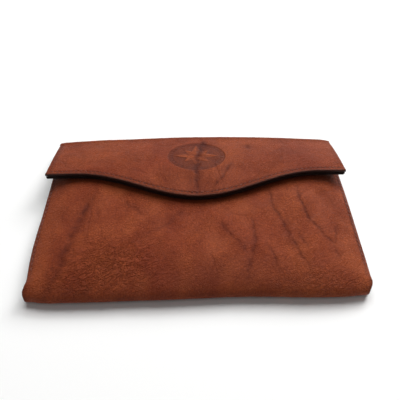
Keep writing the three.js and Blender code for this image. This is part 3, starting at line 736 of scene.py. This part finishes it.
# flap lining, with its own rounded dark edge
def flap_lining():
    drop, th = 2.7, 0.8
    R = 0.2
    xs = graded(-HX + 0.8 + R, HX - 0.8 - R, 1.1, 0.4, 4.0)
    edge = YR - flap_len(xs) + 0.8 + R
    rows = np.concatenate([np.linspace(0, 0.92, 60, endpoint=False), np.linspace(0.92, 1, 10)])
    y0 = HINGE_Y + 1.2
    Y = y0 + (edge - y0)[None] * rows[:, None]
    X = np.tile(xs, (len(rows), 1))
    Z = z_flap(X, YR - Y) - drop
    G = np.stack([X, Y, Z], 2)[:, ::-1]
    # near the edge the lining comes up against the leather
    x, y = G[:, :, 0], G[:, :, 1]
    slope = np.gradient(YR - flap_len(x[-1]), x[-1])[None]
    dd = np.minimum((y - (YR - flap_len(x))) / np.sqrt(1 + slope ** 2), HX - np.abs(x))
    lift = 0.36 * (1 - ss(1.0, 7.0, dd))
    G[:, :, 2] += lift
    nrm = normals_of(G)
    h = 0.12 * fbm(x / 14 + 2, y / 12, 3) * np.clip(dd / 10, 0, 1)
    gr = np.exp(-((dd - 2.7) / 0.4) ** 2)
    O = G
    bead = 1.75 * (1 - ss(0.8, 4.0, (y - (YR - flap_len(x))) / np.sqrt(1 + slope ** 2))) * ss(56, 46, y)
    I = G - nrm * (th + h - 0.12 * gr + bead)[:, :, None]
    uv = np.stack([x + 250, y], 2)
    V, F, UV, rimn, sd = shell(O, I, rim=3, bulge=0.5, uvO=uv)
    n = x.size; per = len(V) - 2 * n
    z0 = np.zeros(n)
    attrs = {"mark": np.zeros(len(V)), "press": np.concatenate([z0, (0.6 * gr).ravel(), np.zeros(per)]), "wear": np.zeros(len(V)), "wrinkle": np.full(len(V), 0.15), "rim": rimn}
    return new_mesh("flap_lining_leather", V, F, UV, attrs, [M_SUEDE])
fl = flap_lining()
add_piece(fl, "flap", ("flap_lining", "flap_board"))

# stitches along the flap's lower edge
def on_flap(x, y, dz=0.0):
    e = 0.05
    z = z_flap(x, YR - y)
    zx = (z_flap(x + e, YR - y) - z_flap(x - e, YR - y)) / (2 * e)
    zy = (z_flap(x, YR - y - e) - z_flap(x, YR - y + e)) / (2 * e)
    n = np.stack([-zx, -zy, np.ones_like(x)], -1)
    n /= np.linalg.norm(n, axis=-1, keepdims=True)
    return np.stack([x, y, z], -1) + n * dz, n
def flap_path(inset):
    xs = np.linspace(-HX + inset, HX - inset, 900)
    e = YR - flap_len(xs)
    sl = np.gradient(e, xs)
    nx, ny = -sl / np.sqrt(1 + sl ** 2), 1 / np.sqrt(1 + sl ** 2)
    px, py = xs + nx * inset * (np.abs(xs) < 94), e + ny * inset
    k = (np.abs(px) <= HX - inset)
    return px[k], py[k]
fx, fy = flap_path(2.5)
P, N = on_flap(fx, fy, -0.26)
st = stitches("flap_stitching", P, N, pitch=3.2, length=2.2, radius=0.25, mat=M_THREAD)
add_piece(st, "flap")
P2, N2 = on_flap(fx, fy, -3.98)
st = stitches("flap_stitching_under", P2, -N2, mat=M_THREAD, lift=0.0)
add_piece(st, "flap")

# stitches down the sides and along the mouth of the body
def on_front(x, y, dz=0.0):
    e = 0.05
    z = z_front(x, y)
    zx = (z_front(x + e, y) - z_front(x - e, y)) / (2 * e)
    zy = (z_front(x, y + e) - z_front(x, y - e)) / (2 * e)
    n = np.stack([-zx, -zy, np.ones_like(x)], -1)
    n /= np.linalg.norm(n, axis=-1, keepdims=True)
    return np.stack([x, y, z], -1) + n * dz, n
for sgn, nm in ((-1, "left"), (1, "right")):
    y = np.linspace(-50, 48, 300)
    P, N = on_front(sgn * (HX - 2.6) * np.ones_like(y), y, -0.24)
    P[:, 0], P[:, 1] = sgn * (half_width(sgn, y) - 2.6), y + bow(P[:, 0], y)
    add_piece(stitches(f"{nm}_side_stitching", P, N), "wallet")
    P = np.stack([sgn * (half_width(sgn, y) - 2.6), y + bow(sgn * 97.0, y), np.full_like(y, 0.42)], -1)
    add_piece(stitches(f"{nm}_side_stitching_back", P, np.tile([0, 0, -1.0], (len(y), 1)), lift=0.0), "wallet")
x = np.linspace(-95.5, 95.5, 500)
P, N = on_front(x, np.full_like(x, Y_MOUTH - 3.2), -0.20)
add_piece(stitches("mouth_stitching", P, N), "wallet")

# ================================================================= inner sheets
def flat_piece(name, x0, x1, y0, y1, ztop, thick, mat, seed, r=2.0, wave=0.05, notch=None, step=1.4, edge_groove=None):
    """A thin sheet with round corners and edges, top surface from ztop(x, y). notch = (x centre, half width, depth) list on the +Y edge."""
    R = thick / 2
    xs = graded(x0 + R, x1 - R, step, 0.4, 3.0)
    ys = graded(y0 + R, y1 - R, step, 0.4, 3.0)
    X, Y = np.meshgrid(xs, ys)
    # pull the corners in to a radius
    cx = np.clip(X, x0 + R + r, x1 - R - r); cy = np.clip(Y, y0 + R + r, y1 - R - r)
    dx, dy = X - cx, Y - cy
    m = np.maximum(np.abs(dx), np.abs(dy)); L = np.hypot(dx, dy)
    f = np.where((np.abs(dx) > 0) & (np.abs(dy) > 0), m / np.maximum(L, 1e-9), 1.0)
    X, Y = cx + dx * f, cy + dy * f
    for c, hw, dep in notch or []:
        k = ss(0, 1, 1 - np.abs(X - c) / hw)
        t = np.clip((Y - (y1 - 12)) / 12, 0, 1)
        Y = Y - dep * k * t
    Z = ztop(X, Y)
    w = wave * fbm(X / 16 + seed, Y / 14 + seed, 3) * np.clip((X - x0) / 6, 0, 1) * np.clip((x1 - X) / 6, 0, 1)
    Z = Z + np.clip(w, -0.12, 0.12)
    gr = 0
    if edge_groove:
        gr = np.exp(-((y1 - edge_groove - Y) / 0.35) ** 2)
        Z = Z - 0.08 * gr
    O = np.stack([X, Y, Z], 2)
    I = O - np.array([0, 0, thick])
    V, F, UV, rimn, sd = shell(O, I, rim=3, bulge=0.5, uvO=np.stack([X + seed * 31, Y + seed * 17], 2))
    n = X.size; per = len(V) - 2 * n
    pr = np.concatenate([(0.6 * gr * np.ones(X.shape)).ravel(), np.zeros(n), np.zeros(per)])
    attrs = {"mark": np.zeros(len(V)), "press": pr, "wear": np.zeros(len(V)), "wrinkle": np.full(len(V), 0.1), "rim": rimn}
    return new_mesh(name, V, F, UV, attrs, [mat])
level = lambda z: (lambda x, y: np.full(np.shape(x), z))
zin = lambda x, y: z_front(x, y) - LEATHER - 0.3

bl = flat_piece("back_lining_cloth", -84, 84, -55, 43.6, level(2.1), 0.3, M_CLOTH, 1, wave=0.03)
add_piece(bl, "wallet", ("back_lining",))
flc = flat_piece("front_lining_cloth", -84, 84, -55, 33.6, zin, 0.3, M_CLOTH, 2, wave=0.03)
add_piece(flc, "wallet", ("front_lining",))
b = flat_piece("mouth_facing_leather", -84, 84, 33.9, 49.2, zin, 0.6, M_IN, 3, wave=0.0)
add_piece(b, "wallet", ("mouth_facing",))
b = flat_piece("back_facing_leather", -84, 84, 43.9, 58.4, level(2.4), 0.6, M_IN, 4, wave=0.0, edge_groove=2.4)
add_piece(b, "wallet", ("back_facing",))
CARDS = [(-40.5, 13, 4.0), (40.5, 13, 4.0)]
b = flat_piece("card_panel_leather", -82, 82, -54, 43.2, level(2.7), 0.3, M_IN, 5, wave=0.02)
add_piece(b, "wallet", ("card_panel",))
for nm, y0, y1, z, sd in (("upper", 16, 36, 3.3, 6), ("middle", 2, 22, 3.9, 7), ("lower", -53, 8, 4.5, 8)):
    b = flat_piece(f"card_slot_{nm}_leather", -80, 80, y0, y1, level(z), 0.3, M_IN, sd, wave=0.02, notch=CARDS, edge_groove=2.2)
    add_piece(b, "wallet", (f"card_slot_{nm}",))
b = flat_piece("divider_leather", -82, 82, -54, 53, level(5.1), 0.3, M_IN, 9, wave=0.05, notch=[(0, 22, 5)], edge_groove=2.4)
add_piece(b, "wallet", ("divider",))
b = flat_piece("passport_pocket_leather", -70, 70, -53, 24, level(10.2), 0.3, M_IN, 10, wave=0.05, notch=[(0, 20, 6)], edge_groove=2.4)
add_piece(b, "wallet", ("passport_pocket",))
def row_at(name, x0, x1, y, z, notch=None, y1=None):
    x = np.linspace(x0, x1, 500); yy = np.full_like(x, y)
    for c, hw, dep in notch or []:
        t = np.clip((y - (y1 - 12)) / 12, 0, 1)
        yy = yy - dep * ss(0, 1, 1 - np.abs(x - c) / hw) * t
    P = np.stack([x, yy, np.full_like(x, z)], -1)
    add_piece(stitches(name, P, np.tile([0, 0, 1.0], (len(x), 1)), radius=0.2, lift=0.0, mat=M_THREAD_IN), "wallet")
row_at("back_facing_stitching", -82, 82, 56.0, 2.38)
row_at("divider_stitching", -79, 79, 50.6, 5.08, [(0, 22, 5)], 53)
row_at("passport_pocket_stitching", -67, 67, 21.6, 10.18, [(0, 20, 6)], 24)
row_at("card_slot_stitching", -77, 77, 33.8, 3.28, CARDS, 36)

# gussets: soft sheets folded inwards
def gusset(side):
    ys = np.linspace(-57, 48.8, 130)
    t = 0.6
    ctrl = []
    for y in ys:
        top = float(z_front(np.array(98.5), np.array(y))) - LEATHER - 0.3 - t
        top = min(top, 10.6)
        low = 1.8
        ap = (top + low) / 2
        ctrl.append([(98.9, low + t), (95.5, low + t), (91, low + t + 0.25), (87.4, ap - 0.35 + t * 0.2), (86.0, ap + t * 0.5), (87.4, ap + 0.9), (91, max(top - 0.3, ap + 1.1)), (95.5, top - 0.02), (98.9, top)])
    C = np.array(ctrl)                         # (ny, 9, 2)
    k = C.shape[1]
    u = np.linspace(0, k - 1, 41)
    def cr(u):
        i = np.clip(np.floor(u).astype(int), 0, k - 2); f = (u - i)[None, :, None]
        g = lambda j: C[:, np.clip(j, 0, k - 1)]
        p0, p1, p2, p3 = g(i - 1), g(i), g(i + 1), g(i + 2)
        return 0.5 * ((2 * p1) + (-p0 + p2) * f + (2 * p0 - 5 * p1 + 4 * p2 - p3) * f ** 2 + (-p0 + 3 * p1 - 3 * p2 + p3) * f ** 3)
    L = cr(u)
    X = side * (half_width(side, ys) / HX)[:, None] * (L[:, :, 0] + 0.25 * fbm(ys[:, None] / 13 + side, u[None] / 2.0, 2)* np.sin(np.pi * u / (k - 1))[None])
    Y = np.tile(ys[:, None], (1, len(u)))
    Z = L[:, :, 1]
    G = np.stack([X, Y, Z], 2)
    nrm = normals_of(G)
    # face outwards (away from the wallet's middle) is side * +x at the apex
    if (nrm[60, 20, 0] * side) < 0:
        G = G[:, ::-1]; nrm = normals_of(G)
    O = G; I = G - nrm * t
    V, F, UV, rimn, sd = shell(O, I, rim=3, bulge=0.5, uvO=np.stack([u[None] * 3 + 0 * ys[:, None] + 500, Y], 2))
    attrs = {"mark": np.zeros(len(V)), "press": np.zeros(len(V)), "wear": np.zeros(len(V)), "wrinkle": np.full(len(V), 0.4), "rim": rimn}
    return new_mesh("right_gusset_leather" if side > 0 else "left_gusset_leather", V, F, UV, attrs, [M_IN])
add_piece(gusset(1), "wallet", ("right_gusset",))
add_piece(gusset(-1), "wallet", ("left_gusset",))

# press stud
def lathe(name, prof, x, y, z, mat, n=64):
    prof = np.array(prof, float)
    a = np.linspace(0, 2 * np.pi, n, endpoint=False)
    V = np.stack([prof[:, None, 0] * np.cos(a)[None], prof[:, None, 0] * np.sin(a)[None], prof[:, None, 1] + 0 * a[None]], 2)
    m = len(prof)
    closed = np.allclose(prof[0], prof[-1])
    faces = []
    last = m - 1
    verts = V.reshape(-1, 3)
    for i in range(m - 1):
        i2 = (i + 1) % last if closed else i + 1
        for j in range(n):
            j2 = (j + 1) % n
            faces.append((i * n + j, i * n + j2, i2 * n + j2, i2 * n + j))
    ob_faces = faces
    if closed:
        verts = verts[: last * n]
    me_v = verts + np.array([x, y, z])
    ob = new_mesh(name, me_v, ob_faces, mats=[mat])
    import bmesh
    bm = bmesh.new(); bm.from_mesh(ob.data)
    bmesh.ops.remove_doubles(bm, verts=bm.verts, dist=1e-6)
    bmesh.ops.recalc_face_normals(bm, faces=bm.faces)
    bm.to_mesh(ob.data); bm.free()
    for p in ob.data.polygons: p.use_smooth = True
    mod = ob.modifiers.new("bevel", "BEVEL"); mod.width = 0.00012; mod.segments = 2; mod.limit_method = "ANGLE"; mod.angle_limit = math.radians(35)
    return ob
b = lathe("snap_socket_brass", [[2.7, 0], [6.0, 0], [6.25, 0.2], [6.2, 0.5], [5.8, 0.9], [5.4, 1.3], [5.1, 1.4], [3.6, 1.4], [3.3, 1.35], [3.0, 1.1], [2.7, 0.9], [2.7, 0]], SNAP[0], SNAP[1], SNAP[2] + 0.3, M_BRASS)
add_piece(b, "wallet", ("snap_socket",))
b = lathe("snap_cap_brass", [[0, 0], [2.4, 0.04], [4.4, 0.15], [5.6, 0.4], [6.0, 0.62], [6.0, 0.8], [5.8, 0.85], [0, 0.85]], SNAP[0], SNAP[1], SNAP[2] - LEATHER - 0.3 - 0.3 - 0.3 - 0.85, M_BRASS)
add_piece(b, "wallet", ("snap_cap",))
b = lathe("snap_stud_brass", [[0, -1.2], [1.2, -1.2], [1.7, -1.12], [2.0, -0.8], [1.95, -0.5], [1.75, -0.2], [1.8, 0], [4.6, 0.02], [5.1, 0.10], [5.2, 0.22], [5.1, 0.36], [4.8, 0.45], [0, 0.45]], SNAP[0], SNAP[1], SNAP[2] + 2.1, M_BRASS)
add_piece(b, "flap", ("snap_stud",))

# ================================================================= stage, light, camera
floor_me = bpy.data.meshes.new("floor")
floor_me.from_pydata([(-3, -3, -0.00005), (3, -3, -0.00005), (3, 3, -0.00005), (-3, 3, -0.00005)], [], [(0, 1, 2, 3)])
floor = bpy.data.objects.new("floor", floor_me)
bpy.context.scene.collection.objects.link(floor)
t = Tree("floor_pale")
t.b.inputs["Base Color"].default_value = (0.93, 0.93, 0.925, 1)
t.b.inputs["Roughness"].default_value = 0.9
t.b.inputs["Specular IOR Level"].default_value = 0.1
floor_me.materials.append(t.m)

def area(name, loc, target, size, power, color=(1, 1, 1)):
    d = bpy.data.lights.new(name, "AREA")
    d.shape = "RECTANGLE"; d.size, d.size_y = size
    d.energy = power; d.color = color
    o = bpy.data.objects.new(name, d)
    bpy.context.scene.collection.objects.link(o)
    o.location = loc
    o.rotation_euler = (Vector(target) - Vector(loc)).to_track_quat("-Z", "Y").to_euler()
    return o
area("top_soft", (0.25, 1.00, 1.75), (0, 0, 0), (1.9, 1.4), 39.6)
area("key_back", (0.85, 1.15, 0.98), (0, 0, 0), (0.9, 0.7), 17.7)
area("front_fill", (-0.2, -0.9, 1.9), (0, 0, 0), (1.6, 1.2), 4.0)
world = bpy.data.worlds.new("studio")
bpy.context.scene.world = world
world.use_nodes = True
world.node_tree.nodes["Background"].inputs[0].default_value = (1, 1, 1, 1)
world.node_tree.nodes["Background"].inputs[1].default_value = 0.085

sc = bpy.context.scene
sc.view_settings.view_transform = "Standard"
sc.view_settings.look = "None"
cam_d = bpy.data.cameras.new("camera")
cam_d.sensor_width = 36.0
cam_d.lens = 36.0 * 440 / 400
cam_d.clip_start = 0.01
cam = bpy.data.objects.new("camera", cam_d)
sc.collection.objects.link(cam)
yaw, pitch, roll = 0.037, 0.835, -0.015
fwd = np.array([math.sin(yaw) * math.cos(pitch), math.cos(yaw) * math.cos(pitch), -math.sin(pitch)])
right = np.array([math.cos(yaw), -math.sin(yaw), 0.0])
down = np.cross(fwd, right)
r2 = math.cos(roll) * right + math.sin(roll) * down
d2 = -math.sin(roll) * right + math.cos(roll) * down
M = Matrix.Identity(4)
for i in range(3):
    M[i][0], M[i][1], M[i][2] = r2[i], -d2[i], -fwd[i]
M[0][3], M[1][3], M[2][3] = -5.203 * MM, -189.995 * MM, 224.12 * MM
cam.matrix_world = M
sc.camera = cam
